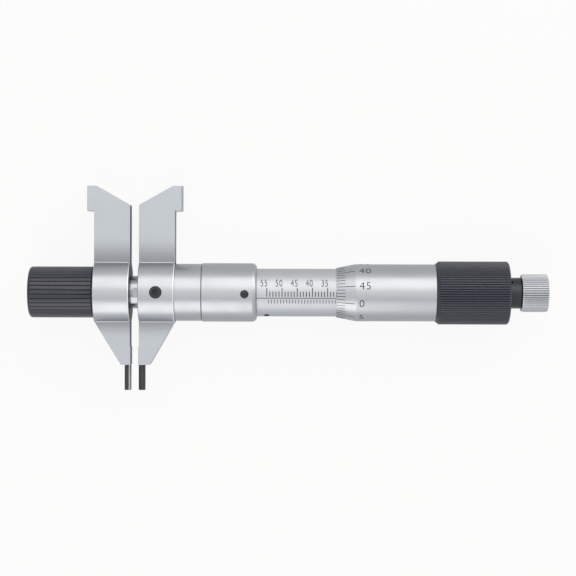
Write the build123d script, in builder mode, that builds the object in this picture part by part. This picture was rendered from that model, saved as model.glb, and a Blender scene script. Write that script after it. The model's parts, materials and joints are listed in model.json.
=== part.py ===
from build123d import *
from math import asin, atan2, cos, degrees, hypot, pi, radians, sin, sqrt
import os

# Inside micrometer with two hooked jaws, lying on a bench. All lengths are in millimetres.
# It is drawn along its own centre line: x runs from the clamp knob to the ratchet, y points to the
# hooks and z to the side that carries the graduations. Its x starts at the fixed jaw's inner face.
# On the bench it rests on its grip and on the lower edges of both hooks, so it is rolled a little
# about its centre line.

# Travel of the movable jaw. When it is closed, the hooks measure 30 mm over all and the pins 5 mm
travel = 25.0
opened = 1.99
closed_gap = 1.0
closed_pin_gap = 0.4

# Jaws
jaw_width = 11.9
hook_outstand = 2.6
hook_height = 8.3
hook_top = 35.3
hook_flat = 3.3
hook_crown_radius = 13.0
blade_thickness = 7.0
blade_shoulder = 28.95
blade_chamfer = 0.15
ring_wall = 3.1
ring_round = 0.3
foot_depth = 24.1
foot_tip_width = 3.6
foot_slant_start = 9.6
contact_pad_height = 6.0
contact_pad_proud = 0.2

# Measuring pins
pin_radius = 1.15
pin_length = 8.45
pin_chamfer = 0.15
pin_shank_radius = 0.7
pin_shank_length = 5.0

# Guide rod, its keyway and its chamber for the spindle's end
rod_radius = 5.4
rod_chamfer = 0.4
keyway_width = 3.0
keyway_depth = 1.3
keyway_spare_left = 5.0
keyway_spare_right = 0.5
keyway_to_pocket = 0.55
ball_radius = 1.5
ball_pocket_depth = 1.2
coupling_nut_length = 4.0
coupling_nut_slot = 1.0
coupling_nut_slot_depth = 0.9
clip_thickness = 0.8
clip_overhang = 1.1
clip_gap = 0.6
clip_groove_depth = 0.5
clip_opening = 90.0
spindle_tail = 0.7

# Body tube and collar
tube_wall = 4.07
jaw_seat_wall = 1.81
shoulder_length = 8.8
collar_gap = 0.1
collar_wall = 2.25
collar_length = 18.3
collar_round = 1.6
collar_rim = 0.1
collar_chamfer = 0.3
collar_seat_wall = 2.06
inner_tube_wall = 1.36
rod_bore_spare = 0.6

# Sleeve, its scale and its spanner hole
sleeve_wall = 1.15
sleeve_in_collar = 7.1
sleeve_past_scale = 2.6
sleeve_overhang = 4.0
scale_margin = 3.34
spanner_hole_radius = 0.7
spanner_hole_inset = 2.9
spanner_hole_angle = -72.0
spanner_hole_depth = 0.8

# Screws on the graduated side
guide_screw_radius = 2.05
guide_screw_socket = 1.0
guide_screw_socket_depth = 1.8
guide_point_side_gap = 0.05
guide_point_tip_gap = 0.15
guide_point_step_gap = 0.1
collar_screw_inset = 4.0
collar_screw_radius = 1.375
collar_screw_slot = 0.45
collar_screw_slot_depth = 0.5
screw_sunk = 0.05

# Spindle, spindle nut and adjusting nut
spindle_radius = 2.5
thread_radius = 4.0
thread_spare = 1.0
thread_shoulder = 0.5
thread_bore_gap = 0.6
spindle_nut_seat_step = 0.7
spindle_nut_seat_length = 10.0
spindle_nut_wall = 2.17
spindle_nut_thread = 14.0
spindle_nut_past = 3.2
spindle_nut_slots = 3
spindle_nut_slot = 0.8
spindle_nut_slot_length = 7.0
adjusting_nut_wall = 0.99
adjusting_nut_length = 5.0
adjusting_nut_gap = 1.0
adjusting_nut_notches = 4
adjusting_nut_notch = 1.4
adjusting_nut_notch_depth = 1.0
taper_step = 0.1
taper_rise = 0.5
stud_radius = 2.4
stud_length = 8.0

# Clamp knob, its screw and the lock plug
knob_radius = 8.5
knob_length = 21.2
knob_end_wall = 3.2
knob_gap = 0.45
knob_round = 1.1
knob_chamfer = 0.3
knob_ribs = 36
knob_rib_depth = 0.4
knob_rib_land = 0.62
clamp_screw_radius = 2.4
clamp_screw_thread = 15.0
clamp_shank_radius = 1.9
clamp_cone_length = 5.4
clamp_cone_tip_radius = 0.7
clamp_tip_gap = 0.6
lock_plug_radius = 1.5
lock_plug_inset = 2.1
lock_plug_gap = 0.15

# Thimble and grip
thimble_wall = 1.47
thimble_edge_wall = 0.17
thimble_rear_wall = 2.0
thimble_bevel = 6.36
thimble_length = 32.6
thimble_web = 6.0
grip_proud = 1.0
grip_length = 24.65
grip_seat_step = 0.5
grip_end_wall = 1.0
grip_chamfer = 0.4
grip_ribs = 80
grip_rib_depth = 0.24
grip_rib_land = 0.5

# Ratchet stop
neck_radius = 5.15
neck_length = 3.8
neck_flange_gap = 0.5
neck_flange_length = 3.0
neck_hole_radius = 0.6
neck_hole_inset = 0.75
neck_hole_depth = 1.2
neck_hole_angle = 38.0
journal_radius = 2.5
hub_step = 0.5
ratchet_radius = 6.25
ratchet_length = 9.05
ratchet_gap = 0.15
ratchet_chamfer = 0.45
ratchet_ribs = 50
ratchet_rib_depth = 0.22
ratchet_rib_land = 0.5
ratchet_wall = 1.3
ratchet_cavity_depth = 4.2
ratchet_web = 2.0
ratchet_recess_gap = 0.5
plate_gap = 0.25
plate_thickness = 1.3
tooth_count = 18
tooth_depth = 0.35
tooth_width = 0.7
tooth_gap = 0.08
spring_turns = 3
spring_wire_radius = 0.22
spring_wire_flat_count = 8
spring_hub_gap = 0.68
spring_end_gap = 0.05
ratchet_screw_radius = 1.25
ratchet_screw_length = 6.5
ratchet_screw_overhang = 0.7
ratchet_screw_head = 1.3
ratchet_screw_slot = 0.8
ratchet_screw_slot_depth = 0.6

# Clearances: all are radial, apart from the end play and the spare depth of a blind hole
press = 0.01
running = 0.03
screw_fit = 0.04
thimble_clearance = 0.08
end_play = 0.03
blind_hole_spare = 0.5

# Radii from the guide rod outwards. A seat's radius is its shaft's, and the piece on it has a press fit
rod_bore_radius = rod_radius + running
tube_radius = rod_bore_radius + tube_wall
jaw_seat_radius = rod_bore_radius + jaw_seat_wall
ring_radius = jaw_seat_radius + press + ring_wall
collar_seat_radius = rod_bore_radius + collar_seat_wall
collar_radius = collar_seat_radius + press + collar_wall
inner_tube_radius = rod_bore_radius + inner_tube_wall
sleeve_radius = inner_tube_radius + press + sleeve_wall
thimble_bore_radius = sleeve_radius + thimble_clearance
thimble_edge_radius = thimble_bore_radius + thimble_edge_wall
thimble_radius = thimble_bore_radius + thimble_wall
grip_seat_radius = thimble_radius - grip_seat_step
grip_radius = thimble_radius + grip_proud
thimble_cavity_radius = grip_seat_radius - thimble_rear_wall
neck_flange_radius = thimble_cavity_radius - neck_flange_gap

# Radii from the spindle outwards
clip_radius = spindle_radius + clip_overhang
coupling_nut_radius = clip_radius + clip_gap
spindle_bore_radius = thread_radius + thread_bore_gap
spindle_nut_seat_radius = spindle_bore_radius + spindle_nut_seat_step
spindle_nut_radius = thread_radius + running + spindle_nut_wall
adjusting_nut_radius = spindle_nut_radius + press + adjusting_nut_wall
taper_large_radius = thread_radius - taper_step
taper_small_radius = taper_large_radius - taper_rise

# Radii in the ratchet stop
hub_radius = journal_radius + hub_step
ratchet_screw_head_radius = journal_radius + ratchet_screw_overhang
ratchet_recess_radius = ratchet_screw_head_radius + ratchet_recess_gap
ratchet_cavity_radius = ratchet_radius - ratchet_wall
plate_radius = ratchet_cavity_radius - plate_gap
spring_mean_radius = hub_radius + spring_hub_gap + spring_wire_radius

# Places along the centre line as it lies: the jaws, the tube and its scale
travel_out = travel - opened
travel_in = opened
jaw_gap = closed_gap + opened
movable_face_x = -jaw_gap
movable_back_x = movable_face_x - jaw_width
pin_inset = pin_radius + (closed_pin_gap - closed_gap) / 2
shoulder_end_x = jaw_width + shoulder_length
collar_x = shoulder_end_x + collar_gap
collar_end_x = collar_x + collar_length
collar_screw_x = collar_end_x - collar_screw_inset
sleeve_x = collar_end_x - sleeve_in_collar
scale_high_x = collar_end_x + scale_margin
scale_low_x = scale_high_x + travel
sleeve_end_x = scale_low_x + sleeve_past_scale

# The nuts inside the thimble
inner_tube_end_x = sleeve_end_x - sleeve_overhang
spindle_nut_x = inner_tube_end_x - spindle_nut_seat_length
adjusting_nut_x = sleeve_end_x + adjusting_nut_gap
adjusting_nut_end_x = adjusting_nut_x + adjusting_nut_length
spindle_nut_end_x = adjusting_nut_end_x + spindle_nut_past
nut_thread_x = spindle_nut_end_x - spindle_nut_thread

# The thimble, its grip and the ratchet. The thread stays in its nut over the whole travel
thimble_x = scale_high_x + travel_out
thimble_end_x = thimble_x + thimble_length
grip_end_x = thimble_end_x + grip_length
thimble_rear_x = grip_end_x - grip_end_wall
thread_x = nut_thread_x - travel_in - thread_spare
thread_end_x = spindle_nut_end_x + travel_out + thread_spare
web_x = thread_end_x + thread_shoulder
web_end_x = web_x + thimble_web
stud_end_x = web_end_x + stud_length
neck_end_x = grip_end_x + neck_length
ratchet_x = neck_end_x + ratchet_gap
ratchet_web_x = ratchet_x + ratchet_cavity_depth
ratchet_web_end_x = ratchet_web_x + ratchet_web
ratchet_end_x = ratchet_x + ratchet_length
plate_end_x = ratchet_web_x - tooth_gap
plate_x = plate_end_x - plate_thickness
journal_end_x = ratchet_web_end_x + end_play
ratchet_screw_x = journal_end_x - ratchet_screw_length

# The guide rod's keyway, which the guide screw's point never leaves, and the chamber behind it
guide_screw_x = jaw_width / 2
guide_point_radius = keyway_width / 2 - guide_point_side_gap
keyway_x = guide_screw_x - travel_in - guide_point_radius - keyway_spare_left
keyway_end_x = guide_screw_x + travel_out + guide_point_radius + keyway_spare_right
keyway_floor = rod_radius - keyway_depth
pocket_x = keyway_end_x + keyway_to_pocket
ball_x = pocket_x + ball_radius
chamber_x = pocket_x + ball_pocket_depth
spindle_x = ball_x + ball_radius + end_play
clip_x = spindle_x + spindle_tail
clip_end_x = clip_x + clip_thickness
coupling_nut_x = clip_end_x + end_play
rod_end_x = coupling_nut_x + coupling_nut_length
rod_bore_end_x = rod_end_x + travel_in + rod_bore_spare

# The clamp: the plug stays inside the tube's bore over the whole travel
knob_end_x = movable_back_x - knob_gap
knob_x = knob_end_x - knob_length
clamp_screw_x = knob_x + knob_end_wall
lock_plug_x = travel_out + lock_plug_radius + lock_plug_inset
clamp_bore_end_x = lock_plug_x + lock_plug_radius
clamp_tip_x = clamp_bore_end_x - clamp_tip_gap
clamp_cone_x = clamp_tip_x - clamp_cone_length
cone_slope = (clamp_shank_radius - clamp_cone_tip_radius) / clamp_cone_length
cone_at_plug = clamp_cone_tip_radius + cone_slope * (clamp_tip_x - lock_plug_x + lock_plug_radius)

# How the instrument lies: the grip and the hooks' lower edges touch the bench
half_blade = blade_thickness / 2
axis_height = grip_radius
roll = degrees(asin(axis_height / hypot(hook_top, half_blade)) - atan2(half_blade, hook_top))
hook_side = hook_top * cos(radians(roll)) + (half_blade - blade_chamfer) * sin(radians(roll))
pin_side = (foot_depth + pin_length) * cos(radians(roll)) + (pin_radius - pin_chamfer) * sin(radians(roll))
lying = Plane(
    origin=(-(knob_x + ratchet_end_x) / 2, (pin_side - hook_side) / 2, axis_height),
    x_dir=(1, 0, 0),
    z_dir=(0, sin(radians(roll)), cos(radians(roll))),
)
centre_line = Axis(lying.origin, lying.x_dir)


def across(x):
    """The plane across the centre line at x. Its own x points to the hooks and its y to the graduations."""
    return Plane(origin=lying.from_local_coords((x, 0, 0)), x_dir=lying.y_dir, z_dir=lying.x_dir)


def outward(x, angle):
    """The plane on the centre line at x that faces outwards, to the graduations at 0 and the hooks at 90."""
    turn = radians(angle)
    return Plane(
        origin=lying.from_local_coords((x, 0, 0)),
        x_dir=lying.x_dir,
        z_dir=lying.z_dir * cos(turn) + lying.y_dir * sin(turn),
    )


def along_blade(x, y):
    """The plane at (x, y) in the middle of a blade's thickness that faces the hooks' way."""
    return Plane(origin=lying.from_local_coords((x, y, 0)), x_dir=lying.x_dir, z_dir=lying.y_dir)


def turned(outline, rounds=(), mode=Mode.ADD):
    """Turn an outline of (x, radius) points about the centre line, with some of its corners rounded."""
    with BuildSketch(lying) as profile:
        with BuildLine():
            Polyline(*outline, close=True)
        make_face()
        for corner, radius in rounds:
            fillet(profile.vertices().sort_by_distance((*corner, 0))[0], radius)
    revolve(profile.sketch, axis=centre_line, mode=mode)


def bored(start, end, radius):
    """Bore a round hole on the centre line from start to end."""
    turned([(start, 0), (start, radius), (end, radius), (end, 0)], mode=Mode.SUBTRACT)


def drilled(x, angle, inner, outer, radius, mode=Mode.SUBTRACT):
    """A round hole or peg at x that points outwards, between two distances from the centre line."""
    with BuildSketch(outward(x, angle).offset(inner)) as mouth:
        Circle(radius)
    extrude(mouth.sketch, amount=outer - inner, mode=mode)


def milled(start, end, angle, inner, outer, width):
    """Mill a straight slot from start to end, between two distances from the centre line."""
    with BuildSketch(outward((start + end) / 2, angle).offset(inner)) as mouth:
        Rectangle(end - start, width)
    extrude(mouth.sketch, amount=outer - inner, mode=Mode.SUBTRACT)


def ribbed_bar(start, length, radius, ribs, depth, land):
    """A bar with V grooves between flat-topped straight ribs. land is a rib top's share of the pitch."""
    pitch = 2 * pi / ribs
    points = []
    for rib in range(ribs):
        middle = rib * pitch
        for edge in (middle - land * pitch / 2, middle + land * pitch / 2):
            points.append((radius * cos(edge), radius * sin(edge)))
        groove = middle + pitch / 2
        points.append(((radius - depth) * cos(groove), (radius - depth) * sin(groove)))
    with BuildSketch(across(start)) as section:
        with BuildLine():
            Polyline(*points, close=True)
        make_face()
    extrude(section.sketch, amount=length)


def toothed(face_x, side, inner, outer):
    """Cut radial V grooves into a flat ring face at face_x. side is 1 where the metal lies to its right."""
    for tooth in range(tooth_count):
        with BuildSketch(outward(face_x, tooth * 360 / tooth_count).offset(inner)) as groove:
            with BuildLine():
                Polyline(
                    (0, -tooth_width / 2),
                    (side * tooth_depth, 0),
                    (0, tooth_width / 2),
                    close=True,
                )
            make_face()
        extrude(groove.sketch, amount=outer - inner, mode=Mode.SUBTRACT)


def two_flats(start, end, radius, flat, mode=Mode.ADD):
    """A bar with two flats across it, or a hole of that shape. flat is a flat's distance from the centre."""
    with BuildSketch(across(start)) as section:
        Circle(radius)
        Rectangle(2 * radius, 2 * flat, mode=Mode.INTERSECT)
    extrude(section.sketch, amount=end - start, mode=mode)


def jaw_blank(face_x, side):
    """A jaw's blade and ring. side is 1 where its hook points to +x and -1 where it points to -x."""
    hook = jaw_width + hook_outstand
    outline = [
        (0, blade_shoulder),
        (hook - hook_flat, hook_top),
        (hook, hook_top),
        (hook, hook_top - hook_height),
        (jaw_width, hook_top - hook_height),
        (jaw_width, -foot_slant_start),
        (foot_tip_width, -foot_depth),
        (-contact_pad_proud, -foot_depth),
        (-contact_pad_proud, contact_pad_height - foot_depth),
        (0, contact_pad_height - foot_depth),
    ]
    crown_x = face_x + side * (hook - hook_crown_radius)
    ring_x = min(face_x, face_x + side * jaw_width)
    ring_end_x = ring_x + jaw_width
    with BuildPart() as blank:
        with BuildSketch(lying):
            with BuildLine():
                Polyline(*[(face_x + side * x, y) for x, y in outline], close=True)
            make_face()
        extrude(amount=half_blade, both=True)
        chamfer(faces().filter_by(Axis(lying.origin, lying.z_dir)).edges(), blade_chamfer)
        # The hook's measuring face is crowned, so that it touches the inside of a bore along one line
        with BuildSketch(along_blade(crown_x, hook_top - hook_height)):
            with Locations((side * hook_crown_radius, 0)):
                Rectangle(2 * hook_outstand, 2 * blade_thickness)
            Circle(hook_crown_radius, mode=Mode.SUBTRACT)
        extrude(amount=hook_height, mode=Mode.SUBTRACT)
        turned(
            [(ring_x, 0), (ring_x, ring_radius), (ring_end_x, ring_radius), (ring_end_x, 0)],
            rounds=[((ring_x, ring_radius), ring_round), ((ring_end_x, ring_radius), ring_round)],
        )
        with BuildSketch(along_blade(face_x + side * pin_inset, -foot_depth)):
            Circle(pin_shank_radius + press)
        extrude(amount=pin_shank_length + blind_hole_spare, mode=Mode.SUBTRACT)
    return blank.part


def measuring_pin(face_x, side):
    """A measuring pin, with the thinner shank that is pressed into a jaw's foot."""
    seat = along_blade(face_x + side * pin_inset, -foot_depth)
    with BuildPart() as pin:
        with BuildSketch(seat):
            Circle(pin_radius)
        extrude(amount=-pin_length)
        chamfer(faces().sort_by(Axis(seat.origin, seat.z_dir))[0].edges(), pin_chamfer)
        with BuildSketch(seat):
            Circle(pin_shank_radius)
        extrude(amount=pin_shank_length)
    return pin.part


# Body tube: the jaw's seat, the bare shoulder, the collar's seat and the long inner tube
with BuildPart() as body_tube:
    turned([
        (0, 0),
        (0, jaw_seat_radius),
        (jaw_width, jaw_seat_radius),
        (jaw_width, tube_radius),
        (shoulder_end_x, tube_radius),
        (shoulder_end_x, collar_seat_radius),
        (sleeve_x, collar_seat_radius),
        (sleeve_x, inner_tube_radius),
        (inner_tube_end_x, inner_tube_radius),
        (inner_tube_end_x, 0),
    ])
    bored(0, rod_bore_end_x, rod_bore_radius)
    bored(rod_bore_end_x, spindle_nut_x, spindle_bore_radius)
    bored(spindle_nut_x, inner_tube_end_x, spindle_nut_seat_radius)
    drilled(guide_screw_x, 0, 0, tube_radius, guide_screw_radius + press)
body_tube.part.label = "body_tube"

# Fixed jaw, pressed on the tube's seat
with BuildPart() as fixed_jaw:
    add(jaw_blank(0, 1))
    bored(0, jaw_width, jaw_seat_radius + press)
    drilled(guide_screw_x, 0, 0, 2 * ring_radius, guide_screw_radius + press)
fixed_jaw.part.label = "fixed_jaw"

with BuildPart() as fixed_jaw_pin:
    add(measuring_pin(0, 1))
fixed_jaw_pin.part.label = "fixed_jaw_pin"

# Guide screw: a socket set screw whose dog point runs in the rod's keyway
guide_screw_top = sqrt(ring_radius**2 - guide_screw_radius**2) - screw_sunk
guide_screw_step = rod_bore_radius + guide_point_step_gap
guide_screw_tip = keyway_floor + guide_point_tip_gap
with BuildPart() as guide_screw:
    drilled(guide_screw_x, 0, guide_screw_step, guide_screw_top, guide_screw_radius, Mode.ADD)
    drilled(guide_screw_x, 0, guide_screw_tip, guide_screw_step, guide_point_radius, Mode.ADD)
    with BuildSketch(outward(guide_screw_x, 0).offset(guide_screw_top)):
        RegularPolygon(guide_screw_socket, 6, major_radius=False)
    extrude(amount=-guide_screw_socket_depth, mode=Mode.SUBTRACT)
guide_screw.part.label = "guide_screw"

# Collar, over the end of the tube's seat and the start of the sleeve. Its wall limits its rounded edge
collar_edge_round = min(collar_round, collar_radius - sleeve_radius - press - collar_rim)
with BuildPart() as collar:
    turned(
        [
            (collar_x, collar_seat_radius + press),
            (collar_x, collar_radius - collar_chamfer),
            (collar_x + collar_chamfer, collar_radius),
            (collar_end_x, collar_radius),
            (collar_end_x, sleeve_radius + press),
            (sleeve_x, sleeve_radius + press),
            (sleeve_x, collar_seat_radius + press),
        ],
        rounds=[((collar_end_x, collar_radius), collar_edge_round)],
    )
    drilled(collar_screw_x, 0, 0, 2 * collar_radius, collar_screw_radius + press)
collar.part.label = "collar"

# Collar screw: a slotted set screw that holds the sleeve once it is set
collar_screw_top = sqrt(collar_radius**2 - collar_screw_radius**2) - screw_sunk
with BuildPart() as collar_screw:
    drilled(collar_screw_x, 0, sleeve_radius + press, collar_screw_top, collar_screw_radius, Mode.ADD)
    milled(
        collar_screw_x - collar_screw_radius,
        collar_screw_x + collar_screw_radius,
        0,
        collar_screw_top - collar_screw_slot_depth,
        collar_radius,
        collar_screw_slot,
    )
collar_screw.part.label = "collar_screw"

# Sleeve, which carries the scale
with BuildPart() as sleeve:
    turned([
        (sleeve_x, inner_tube_radius + press),
        (sleeve_x, sleeve_radius),
        (sleeve_end_x, sleeve_radius),
        (sleeve_end_x, inner_tube_radius + press),
    ])
    drilled(
        collar_end_x + spanner_hole_inset,
        spanner_hole_angle,
        sleeve_radius - spanner_hole_depth,
        2 * sleeve_radius,
        spanner_hole_radius,
    )
sleeve.part.label = "sleeve"

# Spindle nut, whose slotted end is closed by the adjusting nut
with BuildPart() as spindle_nut:
    turned([
        (spindle_nut_x, spindle_bore_radius),
        (spindle_nut_x, spindle_nut_seat_radius - press),
        (inner_tube_end_x, spindle_nut_seat_radius - press),
        (inner_tube_end_x, spindle_nut_radius),
        (spindle_nut_end_x, spindle_nut_radius),
        (spindle_nut_end_x, thread_radius + running),
        (nut_thread_x, thread_radius + running),
        (nut_thread_x, spindle_bore_radius),
    ])
    for slot in range(spindle_nut_slots):
        milled(
            spindle_nut_end_x - spindle_nut_slot_length,
            spindle_nut_end_x + thread_spare,
            slot * 360 / spindle_nut_slots,
            thread_radius / 2,
            2 * spindle_nut_radius,
            spindle_nut_slot,
        )
spindle_nut.part.label = "spindle_nut"

# Adjusting nut, a notched ring on the spindle nut's end
with BuildPart() as adjusting_nut:
    turned([
        (adjusting_nut_x, spindle_nut_radius + press),
        (adjusting_nut_x, adjusting_nut_radius),
        (adjusting_nut_end_x, adjusting_nut_radius),
        (adjusting_nut_end_x, spindle_nut_radius + press),
    ])
    for notch in range(adjusting_nut_notches):
        milled(
            adjusting_nut_end_x - adjusting_nut_notch_depth,
            adjusting_nut_end_x + adjusting_nut_notch_depth,
            notch * 360 / adjusting_nut_notches,
            spindle_nut_radius / 2,
            2 * adjusting_nut_radius,
            adjusting_nut_notch,
        )
adjusting_nut.part.label = "adjusting_nut"

# Guide rod: bored for the clamp screw, with a keyway and a chamber for the spindle's end
with BuildPart() as guide_rod:
    turned([
        (movable_back_x, 0),
        (movable_back_x, rod_radius),
        (rod_end_x - rod_chamfer, rod_radius),
        (rod_end_x, rod_radius - rod_chamfer),
        (rod_end_x, 0),
    ])
    bored(movable_back_x, clamp_bore_end_x, clamp_screw_radius + screw_fit)
    bored(chamber_x, rod_end_x, coupling_nut_radius + press)
    bored(pocket_x, chamber_x, ball_radius + press)
    drilled(lock_plug_x, 180, 0, 2 * rod_radius, lock_plug_radius + press)
    with BuildSketch(outward((keyway_x + keyway_end_x) / 2, 0).offset(keyway_floor)):
        SlotOverall(keyway_end_x - keyway_x, keyway_width)
    extrude(amount=2 * keyway_depth, mode=Mode.SUBTRACT)
guide_rod.part.label = "guide_rod"

# Movable jaw, pressed on the guide rod
with BuildPart() as movable_jaw:
    add(jaw_blank(movable_face_x, -1))
    bored(movable_back_x, movable_face_x, rod_radius + press)
movable_jaw.part.label = "movable_jaw"

with BuildPart() as movable_jaw_pin:
    add(measuring_pin(movable_face_x, -1))
movable_jaw_pin.part.label = "movable_jaw_pin"

# Lock plug, which the clamp screw's cone presses out against the tube's bore
lock_plug_top = sqrt(rod_radius**2 - lock_plug_radius**2)
with BuildPart() as lock_plug:
    drilled(lock_plug_x, 180, cone_at_plug + lock_plug_gap, lock_plug_top, lock_plug_radius, Mode.ADD)
lock_plug.part.label = "lock_plug"

# Thrust ball between the rod and the spindle's end
with BuildPart(across(ball_x)) as thrust_ball:
    Sphere(ball_radius)
thrust_ball.part.label = "thrust_ball"

# Coupling nut, a slotted ring in the rod's mouth
with BuildPart() as coupling_nut:
    turned([
        (coupling_nut_x, spindle_radius + running),
        (coupling_nut_x, coupling_nut_radius),
        (rod_end_x, coupling_nut_radius),
        (rod_end_x, spindle_radius + running),
    ])
    for side in (0, 180):
        milled(
            rod_end_x - coupling_nut_slot_depth,
            rod_end_x + coupling_nut_slot_depth,
            side,
            0,
            2 * coupling_nut_radius,
            coupling_nut_slot,
        )
coupling_nut.part.label = "coupling_nut"

# Clamp knob, blind-bored for its screw
with BuildPart() as clamp_knob:
    ribbed_bar(knob_x, knob_length, knob_radius, knob_ribs, knob_rib_depth, knob_rib_land)
    turned(
        [
            (knob_x, 0),
            (knob_x, knob_radius),
            (knob_end_x - knob_chamfer, knob_radius),
            (knob_end_x, knob_radius - knob_chamfer),
            (knob_end_x, 0),
        ],
        rounds=[((knob_x, knob_radius), knob_round)],
        mode=Mode.INTERSECT,
    )
    bored(clamp_screw_x, knob_end_x, clamp_screw_radius + press)
clamp_knob.part.label = "clamp_knob"

# Clamp screw with its cone point
with BuildPart() as clamp_screw:
    turned([
        (clamp_screw_x, 0),
        (clamp_screw_x, clamp_screw_radius),
        (movable_back_x + clamp_screw_thread, clamp_screw_radius),
        (movable_back_x + clamp_screw_thread, clamp_shank_radius),
        (clamp_cone_x, clamp_shank_radius),
        (clamp_tip_x, clamp_cone_tip_radius),
        (clamp_tip_x, 0),
    ])
clamp_screw.part.label = "clamp_screw"

# Spindle: the grooved end in the rod, the fine thread, the thimble's taper seat and the ratchet's stud
with BuildPart() as spindle:
    turned([
        (spindle_x, 0),
        (spindle_x, spindle_radius),
        (clip_x - press, spindle_radius),
        (clip_x - press, spindle_radius - clip_groove_depth),
        (clip_end_x + press, spindle_radius - clip_groove_depth),
        (clip_end_x + press, spindle_radius),
        (thread_x, spindle_radius),
        (thread_x, thread_radius),
        (thread_end_x, thread_radius),
        (thread_end_x, taper_large_radius),
        (web_x, taper_large_radius),
        (web_end_x, taper_small_radius),
        (web_end_x, stud_radius),
        (stud_end_x, stud_radius),
        (stud_end_x, 0),
    ])
spindle.part.label = "spindle"

# Spindle clip: an open spring ring in the spindle's groove
clip_mouth_depth = 2 * clip_radius * cos(radians(clip_opening / 2))
clip_mouth_half = 2 * clip_radius * sin(radians(clip_opening / 2))
with BuildPart() as spindle_clip:
    with BuildSketch(across(clip_x)):
        Circle(clip_radius)
        Circle(spindle_radius - clip_groove_depth + press, mode=Mode.SUBTRACT)
        with BuildLine():
            Polyline(
                (0, 0),
                (clip_mouth_depth, clip_mouth_half),
                (clip_mouth_depth, -clip_mouth_half),
                close=True,
            )
        make_face(mode=Mode.SUBTRACT)
    extrude(amount=clip_thickness)
spindle_clip.part.label = "spindle_clip"

# Thimble: bevelled to its graduated edge, with a web that sits on the spindle's taper
with BuildPart() as thimble:
    turned([
        (thimble_x, thimble_bore_radius),
        (thimble_x, thimble_edge_radius),
        (thimble_x + thimble_bevel, thimble_radius),
        (thimble_end_x, thimble_radius),
        (thimble_end_x, grip_seat_radius),
        (thimble_rear_x, grip_seat_radius),
        (thimble_rear_x, thimble_cavity_radius),
        (web_end_x, thimble_cavity_radius),
        (web_end_x, taper_small_radius + press),
        (web_x, taper_large_radius + press),
        (web_x, thimble_bore_radius),
    ])
thimble.part.label = "thimble"

# Grip: a finely ribbed cap over the thimble's rear end
with BuildPart() as thimble_grip:
    ribbed_bar(thimble_end_x, grip_length, grip_radius, grip_ribs, grip_rib_depth, grip_rib_land)
    turned(
        [
            (thimble_end_x, 0),
            (thimble_end_x, grip_radius - grip_chamfer),
            (thimble_end_x + grip_chamfer, grip_radius),
            (grip_end_x - grip_chamfer, grip_radius),
            (grip_end_x, grip_radius - grip_chamfer),
            (grip_end_x, 0),
        ],
        mode=Mode.INTERSECT,
    )
    bored(thimble_end_x, thimble_rear_x, grip_seat_radius + press)
    bored(thimble_rear_x, grip_end_x, neck_radius + press)
thimble_grip.part.label = "thimble_grip"

# Ratchet body: the flange against the thimble's web, the neck, the hub with two flats and the journal
with BuildPart() as ratchet_body:
    turned([
        (web_end_x, 0),
        (web_end_x, neck_flange_radius),
        (web_end_x + neck_flange_length, neck_flange_radius),
        (web_end_x + neck_flange_length, neck_radius),
        (neck_end_x, neck_radius),
        (neck_end_x, journal_radius),
        (journal_end_x, journal_radius),
        (journal_end_x, 0),
    ])
    two_flats(neck_end_x, plate_end_x, hub_radius, journal_radius)
    bored(web_end_x, stud_end_x + blind_hole_spare, stud_radius + press)
    bored(ratchet_screw_x - blind_hole_spare, journal_end_x, ratchet_screw_radius + press)
    drilled(
        grip_end_x + neck_hole_inset,
        neck_hole_angle,
        neck_radius - neck_hole_depth,
        2 * neck_radius,
        neck_hole_radius,
    )
ratchet_body.part.label = "ratchet_body"

# Ratchet plate, which slides on the hub's flats and bears its teeth against the knob's
with BuildPart() as ratchet_plate:
    turned([
        (plate_x, 0),
        (plate_x, plate_radius),
        (plate_end_x, plate_radius),
        (plate_end_x, 0),
    ])
    two_flats(plate_x, plate_end_x, hub_radius + screw_fit, journal_radius + screw_fit, Mode.SUBTRACT)
    toothed(plate_end_x, -1, hub_radius / 2, 2 * plate_radius)
ratchet_plate.part.label = "ratchet_plate"

# Ratchet spring, coiled round the hub between the neck and the plate. Its round wire has eight flats here
spring_x = neck_end_x + spring_wire_radius + spring_end_gap
spring_height = plate_x - spring_wire_radius - spring_end_gap - spring_x
with BuildPart() as ratchet_spring:
    with BuildLine(across(spring_x)) as coil:
        Helix(spring_height / spring_turns, spring_height, spring_mean_radius, direction=lying.x_dir)
    with BuildSketch(Plane(origin=coil.line @ 0, z_dir=coil.line % 0)):
        RegularPolygon(spring_wire_radius, spring_wire_flat_count)
    sweep()
ratchet_spring.part.label = "ratchet_spring"

# Ratchet screw, whose head keeps the knob on its journal
ratchet_screw_end_x = journal_end_x + ratchet_screw_head
with BuildPart() as ratchet_screw:
    turned([
        (ratchet_screw_x, 0),
        (ratchet_screw_x, ratchet_screw_radius),
        (journal_end_x, ratchet_screw_radius),
        (journal_end_x, ratchet_screw_head_radius),
        (ratchet_screw_end_x, ratchet_screw_head_radius),
        (ratchet_screw_end_x, 0),
    ])
    with BuildSketch(across(ratchet_screw_end_x)):
        Rectangle(2 * ratchet_screw_head_radius, ratchet_screw_slot)
    extrude(amount=-ratchet_screw_slot_depth, mode=Mode.SUBTRACT)
ratchet_screw.part.label = "ratchet_screw"

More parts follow.
